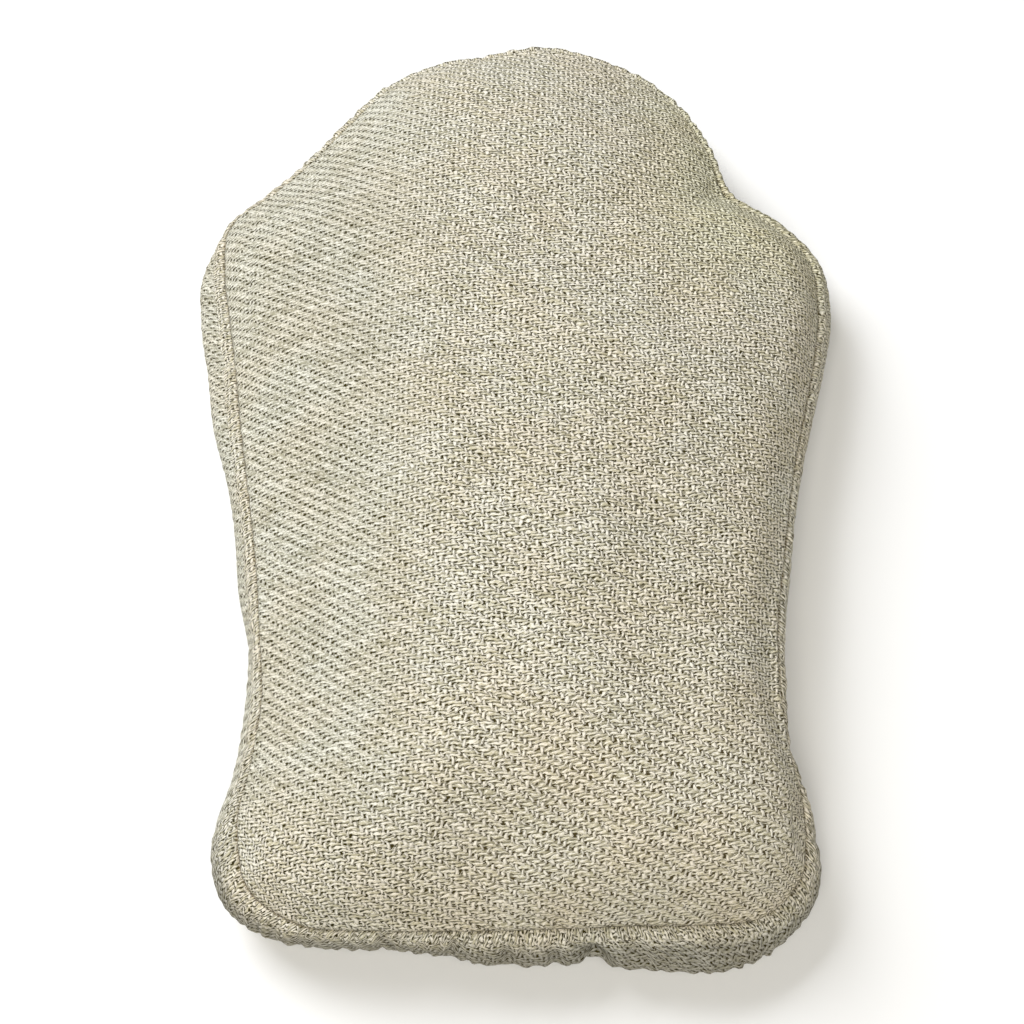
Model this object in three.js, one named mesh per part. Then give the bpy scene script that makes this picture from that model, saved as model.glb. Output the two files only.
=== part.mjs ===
// Throw pillow with a tombstone outline: two panels sewn face to face, turned and filled, as one filled solid.
// Millimetres, +Z up, +Y toward the arch. The pillow lies on its back on z = 0.
import * as THREE from "three";

// Seam, clockwise from the top of the arch: [x, y, height of the seam, bulge of the back panel past the seam].
const SEAM = [
  [13, 228.5, 40, 6],
  [39.5, 222.5, 39.5, 6],
  [64, 210, 39, 6],
  [83.5, 191, 38.5, 6],
  [96, 167, 38.5, 6],
  [104.5, 140, 40.5, 6],
  [126, 123.5, 39, 10],
  [143.5, 103.5, 36.5, 8.5],
  [146, 76.5, 35.5, 8.5],
  [142, 49, 37, 7],
  [136, 22, 38.5, 5.5],
  [129.5, -5, 40, 5],
  [124.5, -32, 42, 4.5],
  [120, -59.5, 44, 5],
  [116, -86.5, 45.5, 5],
  [115, -114.5, 46, 4.5],
  [117.5, -142, 42, 1.5],
  [123, -169, 36, 7],
  [121.5, -196, 32, 9.5],
  [103.5, -213.5, 30.5, 13],
  [76, -217, 32, 21.5],
  [48.5, -217.5, 33, 18],
  [20.5, -219, 34.5, 13],
  [-7, -220, 35.5, 12],
  [-34.5, -220.5, 36, 7],
  [-62, -220, 35.5, 6],
  [-89.5, -217.5, 35, 8],
  [-112.5, -202, 33, 12],
  [-118, -176, 37, 14],
  [-113, -149, 42, 10.5],
  [-110, -121.5, 44.5, 9.5],
  [-112, -94, 47, 7],
  [-115, -66.5, 45.5, 10],
  [-119, -39, 44, 9.5],
  [-123.5, -12, 42.5, 10.5],
  [-128, 15.5, 41, 14.5],
  [-132, 43, 39, 15.5],
  [-136.5, 70, 37, 16.5],
  [-141, 97.5, 35.5, 13.5],
  [-139.5, 124.5, 36.5, 3.5],
  [-118.5, 142, 39, 6],
  [-99.5, 162.5, 38.5, 6],
  [-82.5, 184, 38, 6],
  [-64.5, 204.5, 38, 6],
  [-40.5, 218.5, 38, 6],
  [-14, 224, 38.5, 6],
];
const SEAM_LEVEL = 38; // mean height of the seam above the surface it rests on
const SPINE = { x: 2.7, low: -130, high: 118, pull: 0.62, middle: 30 }; // line that the crown rises to
const CROWN = [ // [y on the spine, height of the front crown above the seam]
  [-130, 44], [-105, 47], [-75, 47], [-45, 45], [-15, 42.5], [15, 41], [45, 37.5], [75, 33.5], [118, 28],
];
const FULLNESS = 0.75; // 1 is a lean crown, 0.5 a round one
const UNDERCUT = 58; // from the seam in to the flat resting patch
const BACK_WAIST = 0.62; // height of the widest line of the back panel, as a share of the seam's
const ALLOWANCE = 1.4; // the folded seam allowance lifts the back panel beside the seam
const STEPS_PER_ROW = 3; // stations between two rows of SEAM

const FRONT_RINGS = [0.15, 0.32, 0.48, 0.61, 0.72, 0.81, 0.88, 0.94, 0.98, 1];
const EDGE_ANGLES = [0.14, 0.34, 0.65, 1.0, 1.3, Math.PI / 2];
const UNDER_ANGLES = [0.25, 0.5, 0.75, 1.0, 1.28, Math.PI / 2];
const SOFTENING = 6; // rounds that round off the creases of the crown
const BESIDE = 20; // stretch of the first ring whose mean height sets a point of the spine
const CREST = 0.5; // the spine stands this far above that mean

// Closed uniform Catmull-Rom curve through rows of numbers.
function closedCurve(rows, steps) {
  const out = [];
  rows.forEach((p1, k) => {
    const p0 = rows.at(k - 1);
    const p2 = rows[(k + 1) % rows.length];
    const p3 = rows[(k + 2) % rows.length];
    for (let j = 0; j < steps; j++) {
      const t = j / steps;
      out.push(
        p1.map(
          (b, i) =>
            0.5 *
            (2 * b +
              (p2[i] - p0[i]) * t +
              (2 * p0[i] - 5 * b + 4 * p2[i] - p3[i]) * t ** 2 +
              (3 * b - p0[i] - 3 * p2[i] + p3[i]) * t ** 3),
        ),
      );
    }
  });
  return out;
}

function interpolate(table, at) {
  const k = Math.max(1, table.findIndex(([a]) => a >= at));
  const [[a0, v0], [a1, v1]] = [table[k - 1], table[k]];
  return v0 + ((v1 - v0) * (at - a0)) / (a1 - a0);
}

const spineY = (y) =>
  THREE.MathUtils.clamp(
    SPINE.pull * (y + SPINE.middle) - SPINE.middle,
    SPINE.low,
    SPINE.high,
  );

// Points of one station from beside the front spine over the seam to the resting patch.
function profile([x, y, z, bulge]) {
  const sy = spineY(y);
  const [dx, dy] = [x - SPINE.x, y - sy];
  const reach = Math.hypot(dx, dy);
  const outward = (d, height) =>
    new THREE.Vector3(x + (dx / reach) * d, y + (dy / reach) * d, height);
  const crown = interpolate(CROWN, sy);
  const front = FRONT_RINGS.map(
    (r) =>
      new THREE.Vector3(
        SPINE.x + dx * r,
        sy + dy * r,
        SEAM_LEVEL +
          (z - SEAM_LEVEL) * r ** 3 +
          crown * (1 - r * r) ** FULLNESS,
      ),
  );
  const waist = BACK_WAIST * z;
  const edge = EDGE_ANGLES.map((a) =>
    outward(
      bulge * Math.sin(a),
      z -
        (z - waist) * (1 - Math.cos(a)) +
        ALLOWANCE * Math.exp(-(((a - 0.24) / 0.14) ** 2)),
    ),
  );
  const under = UNDER_ANGLES.map((a) =>
    outward(
      bulge - (bulge + UNDERCUT) * (1 - Math.cos(a)),
      a < Math.PI / 2 ? waist * (1 - Math.sin(a)) : 0,
    ),
  );
  return [...front, ...edge, ...under];
}

// Evens out the crown's heights between neighbouring stations and rings; the seam stays where it is.
function soften(stations, rounds) {
  const last = FRONT_RINGS.length - 3;
  for (let round = 0; round < rounds; round++) {
    const before = stations.map((s) => s.map((p) => p.z));
    stations.forEach((station, i) => {
      const left = before.at(i - 1);
      const right = before[(i + 1) % stations.length];
      for (let k = 0; k <= last; k++)
        station[k].z =
          (2 * before[i][k] +
            left[k] +
            right[k] +
            before[i][Math.max(k - 1, 0)] +
            before[i][k + 1]) /
          6;
    });
  }
  return stations;
}

// Closed skin: the stations side by side, the first ring joined to the spine, a flat patch over the last ring.
function skin(stations) {
  const [count, depth] = [stations.length, stations[0].length];
  const points = stations.flat();
  const faces = [];
  const next = (i) => (i + 1) % count;
  for (let i = 0; i < count; i++) {
    const [a, b] = [i * depth, next(i) * depth];
    for (let k = 0; k < depth - 1; k++)
      faces.push(a + k, b + k, a + k + 1, b + k, b + k + 1, a + k + 1);
  }

  const spine = CROWN.map(([y], i) => {
    const beside = stations.filter((s) => Math.abs(s[0].y - y) < BESIDE);
    const height = beside.reduce((sum, s) => sum + s[0].z, 0) / beside.length;
    points.push(new THREE.Vector3(SPINE.x, y, height + CREST));
    return { y, index: count * depth + i };
  });
  const nearest = (station) =>
    spine.reduce((best, s) =>
      Math.abs(s.y - station[0].y) < Math.abs(best.y - station[0].y) ? s : best,
    ).index;
  for (let i = 0; i < count; i++) {
    const [a, b] = [i * depth, next(i) * depth];
    const [from, to] = [nearest(stations[i]), nearest(stations[next(i)])];
    faces.push(a, to, b);
    if (from !== to) faces.push(a, from, to);
  }

  const rim = stations.map((s) => s.at(-1));
  for (const [p, q, r] of THREE.ShapeUtils.triangulateShape(rim, []))
    faces.push(...[p, r, q].map((i) => i * depth + depth - 1));

  const geometry = new THREE.BufferGeometry().setFromPoints(points);
  geometry.setIndex(faces);
  return geometry;
}

const stations = closedCurve(SEAM, STEPS_PER_ROW).map(profile);
const geometry = skin(soften(stations, SOFTENING));
geometry.computeBoundingBox();
const box = geometry.boundingBox;
geometry.translate(
  -(box.min.x + box.max.x) / 2,
  -(box.min.y + box.max.y) / 2,
  -box.min.z,
);
geometry.computeVertexNormals();

const pillow = new THREE.Mesh(geometry, new THREE.MeshStandardMaterial());
pillow.name = "pillow";
const part = new THREE.Group();
part.name = "throw_pillow";
part.add(pillow);
export default part;
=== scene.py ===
"""Throw pillow with a tombstone outline, in undyed 2/1 twill: two panels sewn, turned and filled."""
import math

import bpy
import numpy as np
from mathutils import Matrix, Vector
from mathutils.bvhtree import BVHTree


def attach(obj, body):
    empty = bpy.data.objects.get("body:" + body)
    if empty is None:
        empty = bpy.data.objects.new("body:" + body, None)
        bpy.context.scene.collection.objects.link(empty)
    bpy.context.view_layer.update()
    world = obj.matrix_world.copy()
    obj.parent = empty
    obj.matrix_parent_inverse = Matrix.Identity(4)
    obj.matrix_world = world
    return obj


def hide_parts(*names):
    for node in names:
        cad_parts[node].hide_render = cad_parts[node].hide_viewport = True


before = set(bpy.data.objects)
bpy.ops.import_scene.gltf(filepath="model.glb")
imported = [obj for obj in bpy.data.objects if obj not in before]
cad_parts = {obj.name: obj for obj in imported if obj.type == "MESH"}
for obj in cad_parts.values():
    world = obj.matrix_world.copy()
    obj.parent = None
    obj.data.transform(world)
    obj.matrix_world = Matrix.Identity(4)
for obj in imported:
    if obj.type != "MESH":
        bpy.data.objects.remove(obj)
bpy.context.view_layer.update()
rng = np.random.default_rng(7)
MM = 0.001

# Sizes in mm, as in the solid. The seam was computed from points read off the photograph, through its camera.
SEAM = [  # clockwise from the top of the arch: x, y, height, bulge of the back panel past the seam
    (13, 228.5, 40, 6), (39.5, 222.5, 39.5, 6), (64, 210, 39, 6),
    (83.5, 191, 38.5, 6), (96, 167, 38.5, 6), (104.5, 140, 40.5, 6),
    (126, 123.5, 39, 10), (143.5, 103.5, 36.5, 8.5), (146, 76.5, 35.5, 8.5),
    (142, 49, 37, 7), (136, 22, 38.5, 5.5), (129.5, -5, 40, 5),
    (124.5, -32, 42, 4.5), (120, -59.5, 44, 5), (116, -86.5, 45.5, 5),
    (115, -114.5, 46, 4.5), (117.5, -142, 42, 1.5), (123, -169, 36, 7),
    (121.5, -196, 32, 9.5), (103.5, -213.5, 30.5, 13), (76, -217, 32, 21.5),
    (48.5, -217.5, 33, 18), (20.5, -219, 34.5, 13), (-7, -220, 35.5, 12),
    (-34.5, -220.5, 36, 7), (-62, -220, 35.5, 6), (-89.5, -217.5, 35, 8),
    (-112.5, -202, 33, 12), (-118, -176, 37, 14), (-113, -149, 42, 10.5),
    (-110, -121.5, 44.5, 9.5), (-112, -94, 47, 7), (-115, -66.5, 45.5, 10),
    (-119, -39, 44, 9.5), (-123.5, -12, 42.5, 10.5), (-128, 15.5, 41, 14.5),
    (-132, 43, 39, 15.5), (-136.5, 70, 37, 16.5), (-141, 97.5, 35.5, 13.5),
    (-139.5, 124.5, 36.5, 3.5), (-118.5, 142, 39, 6), (-99.5, 162.5, 38.5, 6),
    (-82.5, 184, 38, 6), (-64.5, 204.5, 38, 6), (-40.5, 218.5, 38, 6),
    (-14, 224, 38.5, 6),
]
SEAM_LEVEL = 38.0
SPINE_X, SPINE_LOW, SPINE_HIGH, SPINE_PULL, MIDDLE = 2.7, -130.0, 118.0, 0.62, 30.0
CROWN = [  # y on the spine, height of the front above the seam
    (-130, 44), (-105, 47), (-75, 47), (-45, 45), (-15, 42.5), (15, 41), (45, 37.5), (75, 33.5), (118, 28),
]
FULLNESS = 0.75
UNDERCUT = 58.0
BACK_WAIST = 0.62
ALLOWANCE = 1.4

STEPS = 24  # stations between two rows of SEAM
FRONT_ROWS, EDGE_ROWS, UNDER_ROWS, PATCH_ROWS = 48, 20, 13, 4
FIRST_RING = 0.02
CROWDING = 1.7  # the front rings crowd toward the seam
SOFTENING, SOFTEN_REACH = 260, 8  # rounds, and stations to each side
SPINE_POINTS = 60
GRID_STEP = 1.5  # of the plan grid that measures the threads
SLOPE_LIMIT, SLIT_HALF = 1.6, 6

# cloth
WARP, WEFT = 2.484, 1.735  # pitches, mm
SKEW, LEAN, BOW = math.tan(math.radians(6.5)), math.tan(math.radians(2.0)), 0.0002


def closed_curve(table, steps):
    """Closed uniform Catmull-Rom curve through the rows of a table."""
    p = np.array(table, float)
    p0, p2, p3 = np.roll(p, 1, 0), np.roll(p, -1, 0), np.roll(p, -2, 0)
    t = (np.arange(steps) / steps)[None, :, None]
    p, p0, p2, p3 = (q[:, None, :] for q in (p, p0, p2, p3))
    square = (2 * p0 - 5 * p + 4 * p2 - p3) * t**2
    cube = (3 * p - p0 - 3 * p2 + p3) * t**3
    out = 0.5 * (2 * p + (p2 - p0) * t + square + cube)
    return out.reshape(-1, out.shape[-1])


def wave(s, total, pitch, seed, sharp=1.0):
    """Uneven bumps along the seam, about one for each pitch."""
    r = np.random.default_rng(seed)
    n = int(total / pitch)
    middles = (np.arange(n) + r.uniform(-0.35, 0.35, n)) * total / n
    size = r.uniform(0.25, 1.0, n)
    wide = pitch * r.uniform(0.13, 0.24, n) * sharp
    d = np.abs(s[:, None] - middles[None, :])
    d = np.minimum(d, total - d)
    return (size * np.exp(-((d / wide) ** 2))).sum(1)


def smooth(a, b, x):
    """0 at a, 1 at b, with a soft start and end."""
    t = np.clip((x - a) / (b - a), 0, 1)
    return t * t * (3 - 2 * t)


def quads(rows, count):
    """Faces between the rings of a closed skin."""
    faces = []
    for k in range(rows - 1):
        for i in range(count):
            j = (i + 1) % count
            faces.append((k * count + i, k * count + j, (k + 1) * count + j, (k + 1) * count + i))
    return faces


# the filled form
seam = closed_curve(SEAM, STEPS)
X, Y, Z, BULGE = seam.T
N = len(seam)
along = np.linalg.norm(np.roll(seam[:, :2], -1, 0) - seam[:, :2], axis=1)
S = np.concatenate([[0], np.cumsum(along)[:-1]])
TOTAL = along.sum()

sy = np.clip(SPINE_PULL * (Y + MIDDLE) - MIDDLE, SPINE_LOW, SPINE_HIGH)
dx, dy = X - SPINE_X, Y - sy
reach = np.hypot(dx, dy)
nx, ny = dx / reach, dy / reach
crown = np.interp(sy, *np.array(CROWN, float).T)

rho = 1 - (1 - np.linspace(0, 1, FRONT_ROWS)) ** CROWDING
rho = FIRST_RING + (1 - FIRST_RING) * rho
R = rho[:, None]
front = np.empty((FRONT_ROWS, N, 3))
front[..., 0] = SPINE_X + dx * R
front[..., 1] = sy + dy * R
front[..., 2] = SEAM_LEVEL + (Z - SEAM_LEVEL) * R**3 + crown * (1 - R**2) ** FULLNESS

# rounds off the creases of the crown, also across the spine
side = np.sign(dx)
opposite = np.empty(N, int)
for k in range(N):
    far = np.abs(sy - sy[k]) + np.where(side == side[k], 1e3, 0) + 0.05 * np.abs(Y - Y[k])
    opposite[k] = int(far.argmin())
held = smooth(0.99, 0.9, rho)[:, None]
h = front[..., 2].copy()
for _ in range(SOFTENING):
    inner = np.vstack([h[:1, opposite], h[:-1]])
    outer = np.vstack([h[1:], h[-1:]])
    new = (2 * h + np.roll(h, SOFTEN_REACH, 1) + np.roll(h, -SOFTEN_REACH, 1) + inner + outer) / 6
    h = h + (new - h) * held
front[..., 2] = h

waist = BACK_WAIST * Z
sig = (math.pi / 2) * (np.linspace(0, 1, EDGE_ROWS + 1)[1:, None] ** 1.5)
edge = np.stack([
    X + nx * BULGE * np.sin(sig), Y + ny * BULGE * np.sin(sig), Z - (Z - waist) * (1 - np.cos(sig))], -1)
tau = np.linspace(0, math.pi / 2, UNDER_ROWS + 1)[1:, None]
d = BULGE - (BULGE + UNDERCUT) * (1 - np.cos(tau))
under = np.stack([X + nx * d, Y + ny * d, waist * (1 - np.sin(tau))], -1)
inset = np.linspace(1, FIRST_RING, PATCH_ROWS + 1)[1:, None]
rim = under[-1]
bx, by = rim[:, 0] - SPINE_X, rim[:, 1] - sy
patch = np.stack([SPINE_X + bx * inset, sy + by * inset, 0 * inset * bx], -1)
grid = np.concatenate([front, edge, under, patch])
ROWS = len(grid)
SEAM_ROW = FRONT_ROWS - 1
UNDER_END = FRONT_ROWS + EDGE_ROWS + UNDER_ROWS


# cloth coordinates in mm, before the fine folds
def front_cloth():
    """Thread lengths over the crown, from its middle, on a plan grid."""
    verts = [Vector(p) for p in front[:, ::4].reshape(-1, 3)]
    tree = BVHTree.FromPolygons(verts, quads(FRONT_ROWS, N // 4))
    xs, ys = np.arange(-165, 166, GRID_STEP), np.arange(-245, 246, GRID_STEP)
    top = np.full((len(ys), len(xs)), np.nan)
    down = Vector((0, 0, -1))
    for a, y in enumerate(ys):
        for b, x in enumerate(xs):
            hit = tree.ray_cast(Vector((x, y, 200)), down)[0]
            if hit is not None:
                top[a, b] = hit.z
    gap = np.isnan(top)
    top[gap] = SEAM_LEVEL
    # closes the slit over the spine
    mid = np.abs(xs - SPINE_X) < SLIT_HALF
    for a in range(len(ys)):
        ok = ~gap[a] & ~mid
        if SPINE_LOW - 20 < ys[a] < SPINE_HIGH + 20 and ok.sum() > 4:
            top[a, mid] = np.interp(xs[mid], xs[ok], top[a, ok])
    hx = np.gradient(top, xs, axis=1)
    hy = np.gradient(top, ys, axis=0)
    ux = np.sqrt(1 + np.clip(hx, -SLOPE_LIMIT, SLOPE_LIMIT) ** 2)
    vy = np.sqrt(1 + np.clip(hy, -SLOPE_LIMIT, SLOPE_LIMIT) ** 2)
    u = np.cumsum(ux, 1) * GRID_STEP
    v = np.cumsum(vy, 0) * GRID_STEP
    u -= u[:, [int(np.abs(xs).argmin())]]
    v -= v[[int(np.abs(ys).argmin())], :]

    def sample(f, px, py):
        a, b = (py - ys[0]) / GRID_STEP, (px - xs[0]) / GRID_STEP
        i, j = np.clip(a.astype(int), 0, len(ys) - 2), np.clip(b.astype(int), 0, len(xs) - 2)
        a, b = a - i, b - j
        below = f[i, j] * (1 - a) * (1 - b) + f[i + 1, j] * a * (1 - b)
        return below + f[i, j + 1] * (1 - a) * b + f[i + 1, j + 1] * a * b

    return sample(u, front[..., 0], front[..., 1]), sample(v, front[..., 0], front[..., 1])


cloth = np.zeros((ROWS, N, 2))
cloth[:FRONT_ROWS, :, 0], cloth[:FRONT_ROWS, :, 1] = front_cloth()
STEEP = 0.93  # from this share of the way out the threads are measured ring by ring
for k in range(int(np.searchsorted(rho, STEEP)), FRONT_ROWS):
    step = np.linalg.norm(front[k] - front[k - 1], axis=-1)
    cloth[k, :, 0] = cloth[k - 1, :, 0] + nx * step
    cloth[k, :, 1] = cloth[k - 1, :, 1] + ny * step
# back panel: plan lengths on the resting patch, and on from there outward to the seam
cloth[UNDER_END:, :, 0], cloth[UNDER_END:, :, 1] = grid[UNDER_END:, :, 0], grid[UNDER_END:, :, 1]
cloth[UNDER_END - 1] = grid[UNDER_END - 1, :, :2]
for k in range(UNDER_END - 2, SEAM_ROW, -1):
    step = np.linalg.norm(grid[k] - grid[k + 1], axis=-1)
    cloth[k, :, 0] = cloth[k + 1, :, 0] + nx * step
    cloth[k, :, 1] = cloth[k + 1, :, 1] + ny * step

# distance from the seam over the cloth
ring_gap = np.linalg.norm(grid[1:] - grid[:-1], axis=-1)
fd = np.zeros((ROWS, N))
for k in range(SEAM_ROW - 1, -1, -1):
    fd[k] = fd[k + 1] + ring_gap[k]
for k in range(SEAM_ROW + 1, ROWS):
    fd[k] = fd[k - 1] + ring_gap[k - 1]
is_front = (np.arange(ROWS) <= SEAM_ROW)[:, None]


# fine folds
def normals(g):
    a = np.roll(g, -1, 1) - np.roll(g, 1, 1)
    b = np.gradient(g, axis=0)
    n = np.cross(b, a)
    return -n / np.maximum(np.linalg.norm(n, axis=-1, keepdims=True), 1e-9)


nor = normals(grid)
if nor[10, :, 2].mean() < 0:
    nor = -nor

closing = smooth(-62, -40, X) * (1 - smooth(22, 44, X)) * (Y < -150)  # the stretch sewn shut by hand
left = smooth(-90, -112, X) * smooth(-170, -130, Y)
bottom = smooth(-195, -215, Y)
right = smooth(80, 105, X) * smooth(-215, -190, Y)
pucker_front = wave(S, TOTAL, 15, 3) * (0.55 + 0.5 * closing + 0.5 * bottom)
pucker_back = wave(S, TOTAL, 13, 5) * (0.6 + 0.9 * closing + 0.8 * bottom)
scallops = wave(S, TOTAL, 8, 17, 1.2)
knots = wave(S, TOTAL, 4.4, 23, 1.7)  # single stitches under the turned edge

stitch = wave(S, TOTAL, 3.6, 29, 1.9)  # the dimples of the sewing thread
# painted shade in the seam gap, strongest at the stitch dimples, on the sides and at the lower left
seam_shade_amount = (0.04 + 0.96 * stitch) * (0.35 + 0.5 * np.maximum(left, right))
seam_shade_amount = seam_shade_amount * (1 - 0.6 * smooth(110, 150, Y))
seam_shade_amount = np.maximum(seam_shade_amount, (0.5 + 0.5 * stitch) * smooth(-70, -95, X) * smooth(-150, -175, Y))
groove = (0.1 + 0.7 * stitch) * (1 - 0.6 * bottom) * np.exp(-((fd / 0.9) ** 2))
roll = np.exp(-(((fd - 3.2) / 2.0) ** 2))  # the cloth that rises beside the seam
f_roll = (0.7 - 0.4 * left) * roll - groove
f_puck = -1.15 * pucker_front * np.exp(-fd / 9) * (1 - 0.6 * np.exp(-fd / 1.5))
b_ridge = ALLOWANCE * (1 - 0.3 * left) * roll * (0.62 + 0.42 * knots) - groove
b_puck = -(1.3 * pucker_back + 0.75 * scallops) * np.exp(-(((fd - 5) / 8) ** 2)) * smooth(0, 1.5, fd)
push = np.where(is_front, f_roll + f_puck, b_ridge + b_puck)
# gathered cloth under the turned edge
for _ in range(40):
    wl, ang, ph = rng.uniform(3.8, 9), rng.uniform(-0.5, 0.5), rng.uniform(0, 6.28)
    ripple = np.sin(2 * math.pi * (S * math.cos(ang) + fd * math.sin(ang)) / wl + ph)
    gathered = 0.011 * wl * ripple * (0.35 + bottom) * smooth(1, 6, fd) * smooth(42, 24, fd)
    push += np.where(is_front, 0, gathered)

# the crown drops off late and steeply toward the right side
full_right = smooth(55, 100, X) * smooth(-225, -180, Y) * (1 - smooth(120, 160, Y))
push += np.where(is_front, 4.0 * full_right * smooth(0, 24, fd) * (1 - smooth(24, 80, fd)), 0)

# broad dents and lumps of the filling
DENTS = [  # x, y, radius along x, radius along y, depth
    (-74, -22, 26, 20, 1.3), (56, -50, 24, 22, 1.2), (86, -88, 20, 26, 1.1), (-20, 96, 40, 16, 0.8),
    (-84, 84, 22, 26, 0.9), (20, -146, 50, 14, 1.0), (-60, -140, 24, 18, -0.8), (90, 40, 22, 30, -0.7),
]
px, py = grid[..., 0], grid[..., 1]
for cx, cy, rx, ry, depth in DENTS:
    push -= np.where(is_front, depth * np.exp(-((px - cx) / rx) ** 2 - ((py - cy) / ry) ** 2), 0)
for _ in range(26):
    ang, wl, ph = rng.uniform(0, math.pi), rng.uniform(34, 90), rng.uniform(0, 6.28)
    lump = np.sin(2 * math.pi * (px * math.cos(ang) + py * math.sin(ang)) / wl + ph)
    push += 0.0035 * wl * lump * smooth(0, 25, fd) * is_front

# creases of the front: x, y where each starts, direction in degrees, length, width, depth
CREASES = [
    (104, 138, 215, 26, 3.0, 1.3), (106, 141, 190, 20, 2.2, 0.9), (100, 146, 240, 22, 2.6, 0.9),
    (-134, 120, 330, 16, 2.4, 0.9), (-112, -186, 40, 22, 3.0, 1.0), (118, -182, 130, 24, 3.2, 1.0),
    (-104, 150, 300, 18, 3.0, 0.7),
]
for cx, cy, deg, length, width, depth in CREASES:
    cosine, sine = math.cos(math.radians(deg)), math.sin(math.radians(deg))
    a = (px - cx) * cosine + (py - cy) * sine
    b = -(px - cx) * sine + (py - cy) * cosine
    fall = np.exp(-((np.maximum(a, 0) / length) ** 2) - ((np.minimum(a, 0) / 6) ** 2))
    spread = width * (1 + np.maximum(a, 0) / length)
    push -= np.where(is_front, depth * np.exp(-((b / spread) ** 2)) * fall, 0)

# kinks of the back panel under the seam: x, y on the seam, width along it, depth, distance below the seam
KINKS = [
    (29.5, -220, 4.4, 11.0, 18), (16, -221, 3.0, 2.6, 14), (-2, -221, 3.0, 3.4, 14),
    (46, -219, 4.2, 2.6, 12), (-52, -221, 4.4, 1.8, 10),
    (-84, -218, 4.0, 1.6, 12), (-24, -221, 3.4, 1.8, 12),
    (-139, 80, 3.0, 1.6, 9), (-134, 46, 4.0, 1.8, 9), (-131, 34, 2.6, 1.2, 8), (-116, -92, 3.0, 0.9, 8),
    (-119, -170, 3.6, 1.0, 11), (121, -176, 3.4, 1.1, 9), (-118, -30, 3.0, 0.7, 8), (80, -218, 3.6, 1.0, 15),
]
for cx, cy, width, depth, below in KINKS:
    i = int(np.hypot(X - cx, Y - cy).argmin())
    ds = np.abs(S - S[i])
    ds = np.minimum(ds, TOTAL - ds)
    kink = depth * np.exp(-((ds / width) ** 2))[None, :] * np.exp(-(((fd - below) / 10) ** 2))
    push -= np.where(is_front, 0, kink)

rest = grid[..., 2] < 0.5  # the resting patch stays flat
push = np.where(rest & ~is_front, 0, push)
low = smooth(0, 6, grid[..., 2])
form = grid + nor * np.where(is_front, push, push * low)[..., None]
form[..., 2] = np.maximum(form[..., 2], 0)


# mesh
def zip_rows(points, faces, row, level, flip):
    """Joins the first or last ring to a line of points on the spine."""
    ys = np.linspace(SPINE_LOW, SPINE_HIGH, SPINE_POINTS)
    start = len(points)
    for y in ys:
        z = form[row, np.abs(sy - y) < 4, 2].mean() if level is None else level
        points.append((SPINE_X, float(y), float(z)))
    idx = np.abs(sy[:, None] - ys[None, :]).argmin(1) + start
    for i in range(N):
        j = (i + 1) % N
        a, b = row * N + i, row * N + j
        tri = [(a, idx[j], b)]
        if idx[i] != idx[j]:
            lo, hi = sorted((idx[i], idx[j]))
            run = list(range(lo, hi + 1)) if idx[i] < idx[j] else list(range(hi, lo - 1, -1))
            for p, q in zip(run[:-1], run[1:]):
                tri.append((a, p, q))
        for t in tri:
            faces.append(tuple(int(q) for q in (t[::-1] if flip else t)))


points = [tuple(p) for p in form.reshape(-1, 3)]
faces = quads(ROWS, N)
zip_rows(points, faces, 0, None, False)
zip_rows(points, faces, ROWS - 1, 0.0, True)

mesh = bpy.data.meshes.new("pillow_cover")
mesh.from_pydata([tuple(MM * c for c in p) for p in points], [], faces)
mesh.validate()
mesh.update()
cover = bpy.data.objects.new("pillow_cover", mesh)
bpy.context.collection.objects.link(cover)
mesh.shade_smooth()

# thread numbers (warp, weft) on the panels; the slow drift was fitted to the photograph
DRIFT = [  # power of x / 150 mm, power of y / 230 mm, warp threads, weft threads
    (1, 0, 0.21, -1.84), (0, 1, 1.93, 0.24), (2, 0, 0.81, 0.71), (1, 1, -1.21, 3.28), (0, 2, 0.67, 2.18),
    (3, 0, 1.73, 0.53), (2, 1, 1.34, 7.61), (1, 2, 0.78, 0.85), (0, 3, -2.22, 1.18),
]
u, v = cloth[..., 0].copy(), cloth[..., 1].copy()
u = np.where(is_front, u, -u)  # the back panel shows the same face of the cloth
u += 0.5 * np.sin(v / 31.0 + 0.7) + 0.25 * np.sin(v / 11.0)
v += 0.45 * np.sin(u / 27.0) + 0.3 * np.sin(u / 9.0 + 1.3)
warp_no, weft_no = (u - LEAN * v) / WARP, (v - SKEW * u - BOW * u * u) / WEFT
for a, b, dw, df in DRIFT:
    shape = np.where(is_front, (px / 150) ** a * (py / 230) ** b, 0)
    warp_no, weft_no = warp_no + dw * shape, weft_no + df * shape
threads = np.stack([warp_no, weft_no, np.where(is_front, 0.0, 1.0) + 0 * u], -1)

# the turned edge outside the seam: floats that cross it, slanting one way or the other
slant = 0.5 * left - 0.25 * bottom - 0.6 * right
corner = smooth(-95, -110, X) * smooth(-150, -185, Y)
border = 6.5 + 4 * corner
lane = np.stack([fd / 2.5, (S + slant * fd) / 1.4, 0 * fd], -1)
band = np.where(is_front, 0, 1 - smooth(border - 0.7, border + 0.7, fd))

# how far the floats lie flat, close together and facing the light: less painted shade there, and darker
# painted colours
flat_and_lit = smooth(-15, -80, px) * smooth(-200, -150, py)
back_flat_and_lit = np.maximum(0.25, smooth(-60, -100, px) * smooth(-190, -160, py))
flat_and_lit = np.where(is_front, flat_and_lit, back_flat_and_lit * (1 - band))
flat_and_lit -= 0.9 * band * np.maximum(bottom, corner)
# the lower right, where the threads are pushed about
loose = np.where(is_front, smooth(-90, -175, py) * smooth(-70, 20, px), 0)

# painted shade: darker near the floor, less so on the left, and along the foot of the bottom border
near_floor_shade = smooth(26, 5, form[..., 2]) * (1 - 0.8 * left)
foot_shade = 0.75 * smooth(-160, -200, Y) * smooth(4, 13, fd)
painted_low_shade = np.where(is_front, 0, np.maximum(near_floor_shade, foot_shade))

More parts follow.
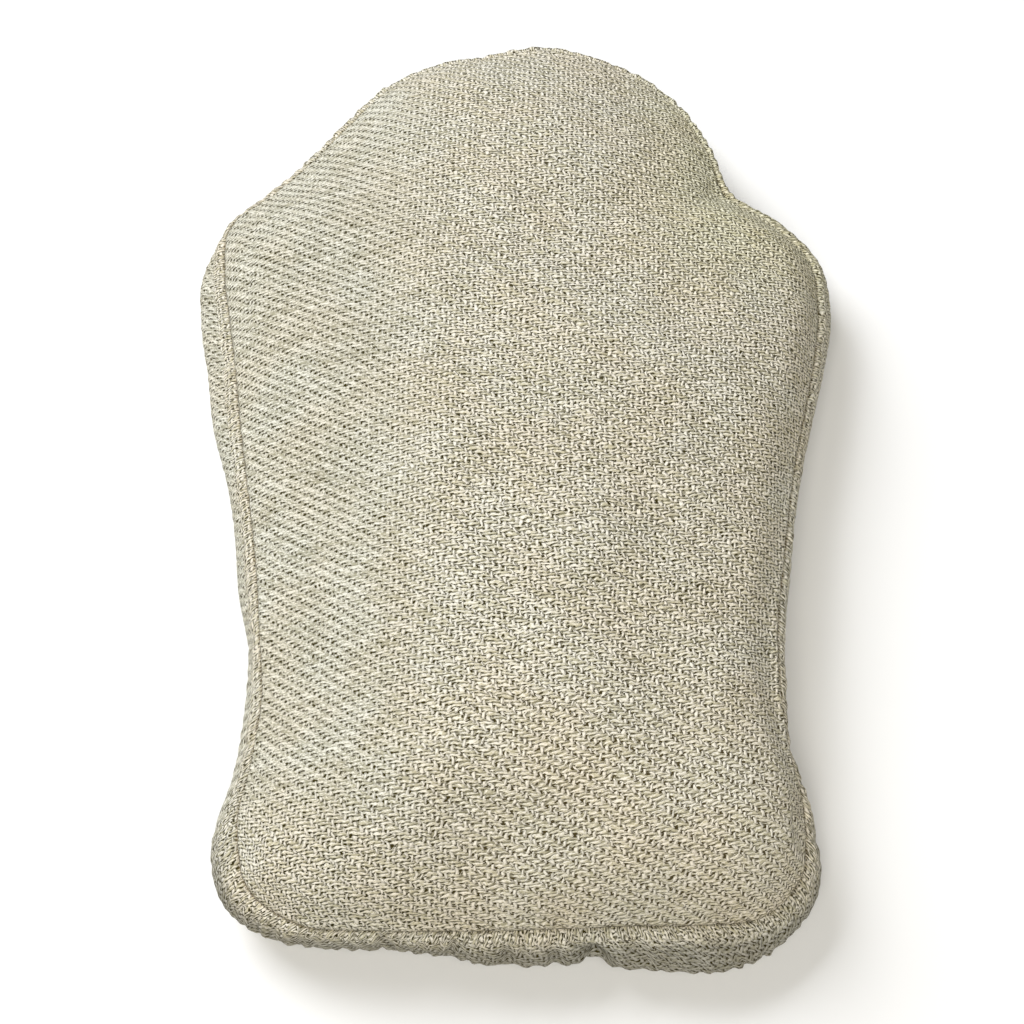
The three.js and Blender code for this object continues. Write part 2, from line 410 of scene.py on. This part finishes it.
spine_at = np.linspace(SPINE_LOW, SPINE_HIGH, SPINE_POINTS)
beside_spine = [np.abs(form[row, None, :, 1] - spine_at[:, None]).argmin(1) for row in (0, -1)]


def put(name, kind, values, on_spine=None):
    """Writes an attribute; the points on the two spines take the value of the ring beside them."""
    att = mesh.attributes.new(name, kind, "POINT")
    width = 3 if kind == "FLOAT_VECTOR" else 1
    values = np.asarray(values, float).reshape(ROWS, N, width)
    if on_spine is None:
        on_spine = np.concatenate([values[0, beside_spine[0]], values[-1, beside_spine[1]]])
    flat = np.concatenate([values.reshape(-1, width), on_spine]).astype(np.float32)
    att.data.foreach_set("vector" if width == 3 else "value", flat.ravel())


def spine_threads():
    """Thread numbers on the spine, from a plane fitted to the ring beside it."""
    out = []
    for row in (0, ROWS - 1):
        for y in spine_at:
            near = np.hypot(form[row, :, 0] - SPINE_X, form[row, :, 1] - y) < 6
            plane = np.stack([np.ones(near.sum()), form[row, near, 0] - SPINE_X, form[row, near, 1] - y], 1)
            out.append(np.linalg.lstsq(plane, threads[row][near], rcond=None)[0][0])
    return np.array(out)


put("threads", "FLOAT_VECTOR", threads, spine_threads())
put("lane", "FLOAT_VECTOR", lane)
put("band", "FLOAT", band)
put("flat_and_lit", "FLOAT", flat_and_lit)
put("loose", "FLOAT", loose)
put("painted_low_shade", "FLOAT", painted_low_shade)
# painted shade colour: the upper right of the front, which lies in shade, is painted yellower
put("shoulder_shade_tint", "FLOAT", smooth(40, 105, px) * smooth(50, 120, py))
put("seam_gap", "FLOAT", np.exp(-((fd / 0.6) ** 2)) * seam_shade_amount)


# material
class Nodes:
    """Short names for adding and joining shader nodes."""

    def __init__(self, tree):
        self.tree = tree

    def new(self, kind, **props):
        n = self.tree.nodes.new(kind)
        for k, val in props.items():
            setattr(n, k, val)
        return n

    def link(self, a, b):
        self.tree.links.new(a, b)

    def put(self, socket, value):
        if hasattr(value, "is_linked") or hasattr(value, "links"):
            self.link(value, socket)
        else:
            socket.default_value = value

    def math(self, op, *args, clamp=False):
        n = self.new("ShaderNodeMath", operation=op, use_clamp=clamp)
        for s, a in zip(n.inputs, args):
            self.put(s, a)
        return n.outputs[0]

    def ramp(self, value, a, b, lo=0.0, hi=1.0):
        n = self.new("ShaderNodeMapRange", interpolation_type="SMOOTHSTEP")
        for name, val in (("Value", value), ("From Min", a), ("From Max", b), ("To Min", lo), ("To Max", hi)):
            self.put(n.inputs[name], val)
        return n.outputs[0]

    def mix(self, fac, a, b, kind="RGBA", blend="MIX"):
        n = self.new("ShaderNodeMix", data_type=kind)
        if kind == "RGBA":
            n.blend_type = blend
            self.put(n.inputs[0], fac)
            self.put(n.inputs[6], a)
            self.put(n.inputs[7], b)
            return n.outputs[2]
        self.put(n.inputs[0], fac)
        self.put(n.inputs[2], a)
        self.put(n.inputs[3], b)
        return n.outputs[0]

    def xyz(self, x, y, z=0.0):
        n = self.new("ShaderNodeCombineXYZ")
        for s, a in zip(n.inputs, (x, y, z)):
            self.put(s, a)
        return n.outputs[0]

    def noise(self, vector, scale, detail=2.0, rough=0.5):
        n = self.new("ShaderNodeTexNoise", noise_dimensions="3D")
        self.put(n.inputs["Vector"], vector)
        n.inputs["Scale"].default_value = scale
        n.inputs["Detail"].default_value = detail
        n.inputs["Roughness"].default_value = rough
        return n.outputs["Fac"]


# the yarn and its gaps, in thread pitches
WANDER, ROW_WANDER, CLIMB = 1.3, 0.40, 0.12
TOP, BOTTOM, UNEVEN, PULL = 0.70, 0.518, 0.20, 0.42
CLIMB_VARIES, LEAN_VARIES = 0.28, 0.5
DIVE = (0.763, 1.586)
WARP_HALF, WARP_VARIES, WARP_REACH, WARP_RISE, WARP_LEAN = 0.235, 0.10, 0.70, 1.314, 0.22
FIBRE_HEIGHT, FIBRE_TONE, FIBRE_ALONG, FIBRE_ACROSS = 0.5, 3.6, 1.6, 3.4
PLY = 0.7
TONE_VARIES, WARP_PALER, TONE_DARK, TONE_PALE = 0.35, 0.9, 0.36, 0.64
LINE_SHADE, LINE_FROM = 0.8, 0.835
HOLES = [
    # beside the top of a warp float: across, up, half width, half height, depth of the dent and of its
    # painted shade;
    # where the floats lie flat and face the light: shift across, taller by, depth; where it is loose: taller
    # by, depth;
    # the first five were fitted to the weave in the photograph
    (0.364, 0.616, 0.352, 0.143, 1.546, -0.25, 0.10, 0.62, 0.0, 0.5),
    (-0.538, 0.552, 0.389, 0.385, 1.463, 0.05, -0.05, 0.95, 0.13, 1.15),
    (-0.308, 0.472, 0.27, 0.169, 0.822, 0.0, 0.0, 0.0, 0.0, 0.1),
]
HOLE_VARIES = 0.35
FRAYED, GRAIN = (0.2, 2.0), 2.2
NOISE_GAIN = 1.38


def weave(t, w, f, flat_and_lit, loose, seed):
    """Height, tone, painted shade in the gaps and cross position of a weft-faced 2/1 twill at thread numbers
    w, f.
    """
    m = t.math

    def swing(value):  # noise about zero
        return m("MULTIPLY", m("SUBTRACT", value, 0.5), NOISE_GAIN)

    def white(a, b, shift):
        n = t.new("ShaderNodeTexWhiteNoise", noise_dimensions="3D")
        t.put(n.inputs["Vector"], t.xyz(a, b, seed + shift))
        sep = t.new("ShaderNodeSeparateColor")
        t.link(n.outputs["Color"], sep.inputs[0])
        return sep.outputs[0], sep.outputs[1], sep.outputs[2]

    # threads wander
    wob = t.new("ShaderNodeTexNoise")
    t.put(wob.inputs["Vector"], t.xyz(m("MULTIPLY", w, 0.33), m("MULTIPLY", f, 0.33), seed))
    wob.inputs["Scale"].default_value, wob.inputs["Detail"].default_value = 1.0, 2.0
    sep = t.new("ShaderNodeSeparateColor")
    t.link(wob.outputs["Color"], sep.inputs[0])
    lively = m("MULTIPLY_ADD", flat_and_lit, -0.55, 1.0)
    flat_and_lit = m("MAXIMUM", flat_and_lit, 0.0)
    wander = m("MULTIPLY", lively, WANDER)
    w = m("MULTIPLY_ADD", swing(sep.outputs[0]), wander, w)
    f = m("MULTIPLY_ADD", swing(sep.outputs[1]), wander, f)
    row = t.noise(t.xyz(m("MULTIPLY", w, 0.8), m("MULTIPLY", m("FLOOR", f), 3.1), seed + 21.3), 1.0, 1.0)
    f = m("MULTIPLY_ADD", m("MULTIPLY", swing(row), lively), ROW_WANDER, f)

    j = m("FLOOR", f)
    fy = m("SUBTRACT", m("SUBTRACT", f, j), 0.5)
    i = m("FLOOR", w)
    shifted = m("ADD", w, j)
    q = m("FLOORED_MODULO", shifted, 3.0)  # 0 to 1 on a warp float, 1 to 3 on a weft float
    cell = m("FLOOR", q)
    tt = m("SUBTRACT", m("FLOORED_MODULO", m("SUBTRACT", q, 0.5), 3.0), 1.5)
    from_middle = m("ABSOLUTE", tt)

    # weft float: pulled in from above at its ends, where it dives under the warp
    r0, r1, r2 = white(m("FLOOR", m("DIVIDE", shifted, 3.0)), j, 3.0)
    thick = t.noise(t.xyz(m("MULTIPLY", w, 0.3), m("MULTIPLY", j, 3.7), seed + 2.0), 1.0, 2.0)
    grow = m("MULTIPLY", m("MULTIPLY_ADD", swing(thick), 2.0, m("SUBTRACT", r0, 0.5)), UNEVEN)
    top = m("SUBTRACT", m("ADD", grow, TOP), m("MULTIPLY", t.ramp(from_middle, 0.55, 1.25), PULL))
    bottom = m("ADD", grow, BOTTOM)
    half = m("MULTIPLY", m("ADD", top, bottom), 0.5)
    climb = m("MULTIPLY_ADD", m("MULTIPLY", m("SUBTRACT", r1, 0.5), lively), CLIMB_VARIES, CLIMB)
    centre = m("MULTIPLY_ADD", tt, climb, m("MULTIPLY", m("SUBTRACT", top, bottom), 0.5))
    a = m("DIVIDE", m("SUBTRACT", fy, centre), half)
    prof = m("SQRT", m("MAXIMUM", m("SUBTRACT", 1.0, m("MULTIPLY", a, a)), 0.0))
    sag = m("SUBTRACT", 1.0, m("MULTIPLY", m("MULTIPLY", tt, tt), 0.10))
    arch = m("MULTIPLY", sag, t.ramp(from_middle, *DIVE, 1.0, 0.2))
    weft = m("MULTIPLY", prof, arch)

    # warp float: reaches over the two wefts beside its own cell
    off = m("SUBTRACT", m("COMPARE", cell, 1.0, 0.1), m("COMPARE", cell, 2.0, 0.1))
    y = m("ADD", fy, off)
    s0, s1, s2 = white(i, m("ADD", j, off), 9.0)
    x = m("SUBTRACT", m("SUBTRACT", q, cell), 0.5)
    lean = m("MULTIPLY_ADD", m("MULTIPLY", m("SUBTRACT", s2, 0.5), lively), LEAN_VARIES, WARP_LEAN)
    xw = m("ADD", m("MULTIPLY_ADD", y, lean, x), m("MULTIPLY", m("MULTIPLY_ADD", s1, 0.24, -0.12), lively))
    xw = m("DIVIDE", xw, m("MULTIPLY_ADD", s0, WARP_VARIES, WARP_HALF))
    profw = m("SQRT", m("MAXIMUM", m("SUBTRACT", 1.0, m("MULTIPLY", xw, xw)), 0.0))
    yw = m("DIVIDE", m("ABSOLUTE", y), m("MULTIPLY", m("MULTIPLY_ADD", s1, 0.45, 0.80), WARP_REACH))
    archw = m("SQRT", m("MAXIMUM", m("SUBTRACT", 1.0, m("POWER", yw, 3.0)), 0.0))
    warp = m("MULTIPLY", m("MULTIPLY", profw, archw), WARP_RISE)
    height = m("MAXIMUM", weft, warp)
    is_warp = m("GREATER_THAN", warp, weft)
    is_weft = m("SUBTRACT", 1.0, is_warp)

    # tone of the threads and of each float
    tone_f = t.noise(t.xyz(m("MULTIPLY", w, 0.12), m("MULTIPLY", j, 5.3), seed + 12.0), 1.0, 2.0)
    tone_w = t.noise(t.xyz(m("MULTIPLY", i, 5.3), m("MULTIPLY", f, 0.1), seed + 15.0), 1.0, 2.0)
    paler = m("MULTIPLY", is_warp, m("MULTIPLY_ADD", flat_and_lit, -WARP_PALER, WARP_PALER))
    tone = m("ADD", m("ADD", paler, 0.5), swing(t.mix(is_warp, tone_f, tone_w, "FLOAT")))
    own = m("SUBTRACT", t.mix(is_warp, r2, s2, "FLOAT"), 0.5)
    tone = m("MULTIPLY_ADD", m("MULTIPLY", own, lively), TONE_VARIES, tone)

    # twisted fibres of the yarn
    across = t.mix(is_warp, fy, m("MULTIPLY", x, 1.4), "FLOAT")
    along = t.mix(is_warp, w, f, "FLOAT")
    strand = m("MULTIPLY", t.mix(is_warp, j, i, "FLOAT"), 7.1)
    twisted = m("MULTIPLY_ADD", across, 1.5, m("MULTIPLY", along, FIBRE_ALONG))
    fibres = t.xyz(twisted, m("MULTIPLY_ADD", across, FIBRE_ACROSS, strand), seed)
    ply = swing(t.noise(fibres, PLY, 0.0))
    height = m("MULTIPLY_ADD", m("MULTIPLY", ply, FIBRE_HEIGHT), m("SQRT", height), height)
    streaks = swing(t.noise(fibres, 1.0, 3.0, 0.7))
    tone = m("MULTIPLY_ADD", streaks, m("MULTIPLY_ADD", loose, 1.6, FIBRE_TONE), tone)

    # gaps beside the warp floats: dents, and painted shade in them and along the lines between the wefts
    up = m("GREATER_THAN", fy, 0.0)
    jb = m("SUBTRACT", m("ADD", j, up), 1.0)
    yb = m("SUBTRACT", m("ADD", fy, 1.0), up)
    base = m("ADD", w, jb)
    g = white(m("FLOOR", m("DIVIDE", m("ADD", base, 1.0), 3.0)), jb, 17.0)
    hole = None
    for k, row in enumerate(HOLES):
        (cx, cy, wide, high, deep), (flat_lit_x, flat_lit_y, flat_lit_deep, loose_y, loose_deep) = row[:5], row[5:]
        dw = m("SUBTRACT", m("FLOORED_MODULO", m("ADD", base, 2.0 if k == 2 else 1.0), 3.0), 1.5)
        dw = m("SUBTRACT", dw, m("MULTIPLY_ADD", flat_and_lit, flat_lit_x, cx))
        tall = m("MULTIPLY_ADD", loose, loose_y, m("MULTIPLY_ADD", flat_and_lit, flat_lit_y, high))
        ex = m("POWER", m("ABSOLUTE", m("DIVIDE", dw, wide)), 3.0)
        ey = m("POWER", m("ABSOLUTE", m("DIVIDE", m("SUBTRACT", yb, cy), tall)), 3.0)
        one = m("EXPONENT", m("MULTIPLY", m("ADD", ex, ey), -1.0))
        one = m("MULTIPLY", one, m("MULTIPLY_ADD", g[k], deep * HOLE_VARIES * 1.5, deep * (1 - HOLE_VARIES)))
        flat_lit_scale = m("MULTIPLY_ADD", flat_and_lit, flat_lit_deep - 1.0, 1.0)
        one = m("MULTIPLY", one, m("MULTIPLY_ADD", loose, loose_deep - 1.0, flat_lit_scale))
        hole = one if hole is None else m("MAXIMUM", hole, one)
    hole = m("MULTIPLY", hole, m("MAXIMUM", t.ramp(warp, 0.15, 0.6, 1.0, 0.0), m("MULTIPLY", flat_and_lit, 0.5)))
    frayed = t.noise(t.xyz(m("MULTIPLY", w, GRAIN), m("MULTIPLY", f, GRAIN), seed + 41.0), 1.0, 1.0)
    hole = m("MULTIPLY", hole, t.ramp(frayed, 0.36, 0.6, *FRAYED))
    rough = t.noise(t.xyz(m("MULTIPLY", w, 0.8), m("MULTIPLY", f, 0.8), seed + 33.0), 1.0, 2.0)
    # painted shade along the edges of each weft float
    line = m("MULTIPLY", t.ramp(m("ABSOLUTE", a), LINE_FROM, 1.02), t.ramp(rough, 0.28, 0.64, 0.0, LINE_SHADE))
    line = m("MULTIPLY", line, m("SUBTRACT", 1.0, m("MAXIMUM", flat_and_lit, m("MULTIPLY", loose, 0.3))))
    gap_shade = m("MAXIMUM", hole, m("MULTIPLY", line, is_weft), clamp=True)
    height = m("MULTIPLY", height, m("SUBTRACT", 1.0, m("MULTIPLY", m("MINIMUM", hole, 1.0), 0.6)))
    return height, tone, gap_shade, m("MULTIPLY", a, is_weft)


LOW, HIGH, GAP_SHADE = (0.61, 0.57, 0.405), (0.925, 0.878, 0.75), (0.045, 0.035, 0.006)
SIDE_SHADE = 0.33
FLAT_LIT_LOW, FLAT_LIT_HIGH = (0.41, 0.39, 0.285), (0.86, 0.835, 0.725)
LOOSE_TINT, LOOSE_GAP_SHADE = (1.0, 0.99, 0.98), (0.08, 0.06, 0.022)
OLIVE, OCCLUDED = (0.695, 0.70, 0.60), (-0.404, 0.858)
WHITE, STAIN, SPECK = (1, 1, 1), (1.0, 0.965, 0.93), (0.16, 0.09, 0.04)
LOW_SHADE_GREY, SHOULDER_SHADE_YELLOW, SEAM_GAP_SHADE = (0.16, 0.155, 0.13), (0.975, 0.98, 0.87), (0.27, 0.19, 0.10)
RELIEF = 0.00077


def make_cloth():
    mat = bpy.data.materials.new("undyed_twill")
    mat.use_nodes = True
    t = Nodes(mat.node_tree)
    m = t.math
    bsdf = mat.node_tree.nodes["Principled BSDF"]

    def vector(name):
        att = t.new("ShaderNodeAttribute", attribute_name=name)
        sep = t.new("ShaderNodeSeparateXYZ")
        t.link(att.outputs["Vector"], sep.inputs[0])
        return sep.outputs

    def share(name):
        return t.new("ShaderNodeAttribute", attribute_name=name).outputs["Fac"]

    def colour(c):
        return (*c, 1)

    panel, lane = vector("threads"), vector("lane")
    border = m("GREATER_THAN", share("band"), 0.5)
    gap, flat_and_lit, loose = share("seam_gap"), share("flat_and_lit"), share("loose")
    w = t.mix(border, panel[0], lane[0], "FLOAT")
    f = t.mix(border, panel[1], lane[1], "FLOAT")
    height, tone, gap_shade, side = weave(t, w, f, flat_and_lit, loose, 0.0)
    tone = m("MULTIPLY_ADD", m("MULTIPLY", side, m("MULTIPLY_ADD", flat_and_lit, -0.8, 1.0)), SIDE_SHADE, tone)
    flat_and_lit = m("MAXIMUM", flat_and_lit, 0.0)
    height = m("MULTIPLY", height, m("MULTIPLY_ADD", flat_and_lit, -0.5, 1.0))

    # stains and specks follow the cloth
    at = t.xyz(m("MULTIPLY", panel[0], 0.06), m("MULTIPLY", panel[1], 0.045), panel[2])
    patchy = t.ramp(t.noise(at, 1.0, 3.0, 0.55), 0.36, 0.64)
    # where the floats lie flat and face the light, the yarn colours carry a darker painted shade
    darker = t.mix(flat_and_lit, colour(LOW), colour(FLAT_LIT_LOW))
    paler = t.mix(flat_and_lit, colour(HIGH), colour(FLAT_LIT_HIGH))
    tint = t.mix(t.ramp(tone, TONE_DARK, TONE_PALE), darker, paler)
    tint = t.mix(1.0, tint, t.mix(patchy, colour(WHITE), colour(STAIN)), blend="MULTIPLY")
    speck = t.noise(t.xyz(m("MULTIPLY", panel[0], 0.55), m("MULTIPLY", panel[1], 1.1), 3.0), 1.0, 1.0)
    tint = t.mix(t.ramp(speck, 0.80, 0.84), tint, colour(SPECK))
    shade = t.mix(t.ramp(height, *OCCLUDED), colour(OLIVE), colour(WHITE))
    tint = t.mix(m("MULTIPLY_ADD", flat_and_lit, -0.75, 1.0), tint, shade, blend="MULTIPLY")
    # painted shade near the floor and along the foot of the bottom border
    tint = t.mix(m("MULTIPLY", share("painted_low_shade"), 0.8), tint, colour(LOW_SHADE_GREY))
    tint = t.mix(loose, tint, colour(LOOSE_TINT), blend="MULTIPLY")
    # painted shade colour on the upper right of the front
    tint = t.mix(share("shoulder_shade_tint"), tint, colour(SHOULDER_SHADE_YELLOW), blend="MULTIPLY")
    # painted shade in the gaps between the yarns
    tint = t.mix(gap_shade, tint, t.mix(loose, colour(GAP_SHADE), colour(LOOSE_GAP_SHADE)))
    # painted shade in the seam gap
    tint = t.mix(m("MULTIPLY", gap, 0.6), tint, colour(SEAM_GAP_SHADE))
    t.link(tint, bsdf.inputs["Base Color"])
    bsdf.inputs["Roughness"].default_value = 0.9
    bsdf.inputs["Specular IOR Level"].default_value = 0.08
    bsdf.inputs["Sheen Weight"].default_value = 0.03
    bsdf.inputs["Sheen Roughness"].default_value = 0.5
    bump = t.new("ShaderNodeBump")
    bump.inputs["Strength"].default_value = 1.0
    bump.inputs["Distance"].default_value = RELIEF
    t.link(height, bump.inputs["Height"])
    t.link(bump.outputs[0], bsdf.inputs["Normal"])
    return mat


mesh.materials.append(make_cloth())
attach(cover, "root")
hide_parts("pillow")

# floor, light, camera
FLOOR_HALF, FLOOR_DROP = 6, 0.0002  # metres
LIGHT_AIM = 0.04  # height that the lights point at, metres
SENSOR, IMAGE = 36, 1024

floor = bpy.data.meshes.new("floor")
corners = [(x * FLOOR_HALF, y * FLOOR_HALF, 0) for x, y in ((-1, -1), (1, -1), (1, 1), (-1, 1))]
floor.from_pydata(corners, [], [(0, 1, 2, 3)])
ground = bpy.data.objects.new("floor", floor)
bpy.context.collection.objects.link(ground)
paper = bpy.data.materials.new("paper")
paper.use_nodes = True
surface = paper.node_tree.nodes["Principled BSDF"]
surface.inputs["Base Color"].default_value = (0.97, 0.96, 0.94, 1)
surface.inputs["Roughness"].default_value = 0.95
floor.materials.append(paper)
ground.location.z = -FLOOR_DROP

scene = bpy.context.scene
world = bpy.data.worlds.new("studio")
scene.world = world
world.use_nodes = True
world.node_tree.nodes["Background"].inputs[0].default_value = (1.02, 1.0, 0.96, 1)
world.node_tree.nodes["Background"].inputs[1].default_value = 0.143


def area(name, toward, distance, size, power, colour):
    lamp = bpy.data.lights.new(name, "AREA")
    lamp.shape, lamp.size, lamp.size_y = "RECTANGLE", size, size
    lamp.energy, lamp.color = power, colour
    ob = bpy.data.objects.new(name, lamp)
    way = Vector(toward).normalized()
    ob.location = way * distance + Vector((0, 0, LIGHT_AIM))
    ob.rotation_euler = way.to_track_quat("Z", "Y").to_euler()
    bpy.context.collection.objects.link(ob)


area("window", (-0.5, 0.5, 0.71), 2.2, 1.3, 44.5, (0.97, 1.0, 1.06))
area("front", (0, -0.5, 0.87), 2.2, 1.3, 28, (1.02, 1.0, 0.94))

TILT, DISTANCE, SCALE = math.radians(24.3), 850.0, 2.19  # distance in mm, scale in pixels per mm
target = Vector((-1.3, -30.0, 38.0))
toward = Vector((0, -math.sin(TILT), math.cos(TILT)))
cam = bpy.data.cameras.new("camera")
cam.sensor_width = SENSOR
cam.lens = SENSOR * SCALE * DISTANCE / IMAGE
camera = bpy.data.objects.new("camera", cam)
rightward = Vector((1, 0, 0))
upward = toward.cross(rightward)
turn = Matrix((rightward, upward, toward)).transposed()
camera.matrix_world = Matrix.Translation((target + toward * DISTANCE) * MM) @ turn.to_4x4()
bpy.context.collection.objects.link(camera)
scene.camera = camera
scene.view_settings.view_transform = "Standard"
